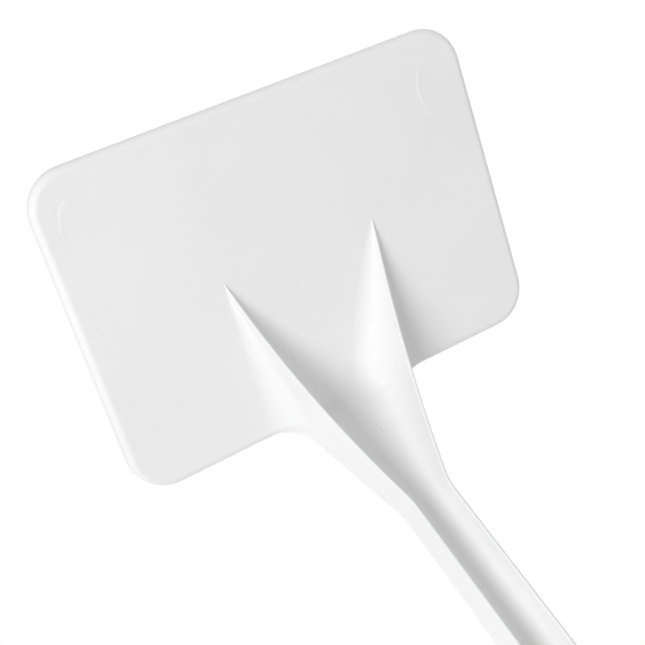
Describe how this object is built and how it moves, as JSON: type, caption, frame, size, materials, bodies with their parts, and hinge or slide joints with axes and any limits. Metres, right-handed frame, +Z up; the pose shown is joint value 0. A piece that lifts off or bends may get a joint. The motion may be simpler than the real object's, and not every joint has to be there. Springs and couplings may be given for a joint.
{
  "type": "plant label stake",
  "caption": "White moulded plant label: a tilted rounded plate to write on, held by back gussets on a channel-section stem with a pointed end that is pushed into soil.",
  "frame": {"origin": "on the soil line, in the middle of the stem's inner floor", "axes": "+Z up along the stem, +X to the right of someone reading the label, +Y to the back, where the channel opens and the gussets stand"},
  "size_m": [0.09, 0.0505, 0.2734],
  "materials": {
    "white_plastic": "white moulded plastic with a fine satin texture"
  },
  "bodies": {
    "root": {"label_plate": "white_plastic", "left_gusset": "white_plastic", "right_gusset": "white_plastic", "neck_web": "white_plastic", "neck_left_wall": "white_plastic", "neck_right_wall": "white_plastic", "stem_web": "white_plastic", "stem_left_flange": "white_plastic", "stem_right_flange": "white_plastic", "point_web": "white_plastic", "point_left_flange": "white_plastic", "point_right_flange": "white_plastic"}
  },
  "joints": []
}
